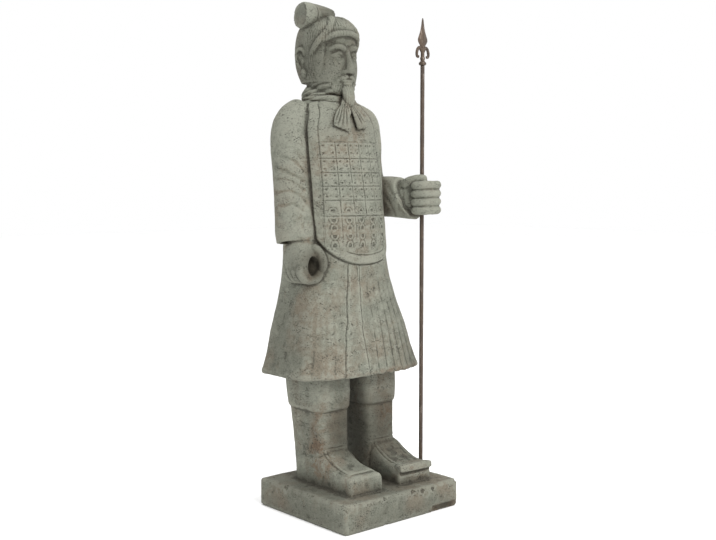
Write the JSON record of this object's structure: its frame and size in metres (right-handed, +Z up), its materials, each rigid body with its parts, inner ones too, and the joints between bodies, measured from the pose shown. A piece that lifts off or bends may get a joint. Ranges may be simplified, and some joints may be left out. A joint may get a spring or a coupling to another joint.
{
  "type": "terracotta warrior garden statue",
  "caption": "Standing guard figure in plated armour on a square plinth, holding a tall iron lance that lifts out of one fist.",
  "frame": {"origin": "centre of the plinth's underside", "axes": "+Z up; the figure faces -Y; +X is the figure's left, the lance side"},
  "size_m": [0.3817, 0.3416, 1.1919],
  "materials": {
    "cast_stone": "weathered grey-green cast stone with a brown wash, matt",
    "lance_iron": "dark brown rusted iron, lightly rubbed"
  },
  "bodies": {
    "root": {"warrior_casting": "cast_stone", "lance_shaft": "lance_iron", "lance_head": "lance_iron"}
  },
  "joints": []
}
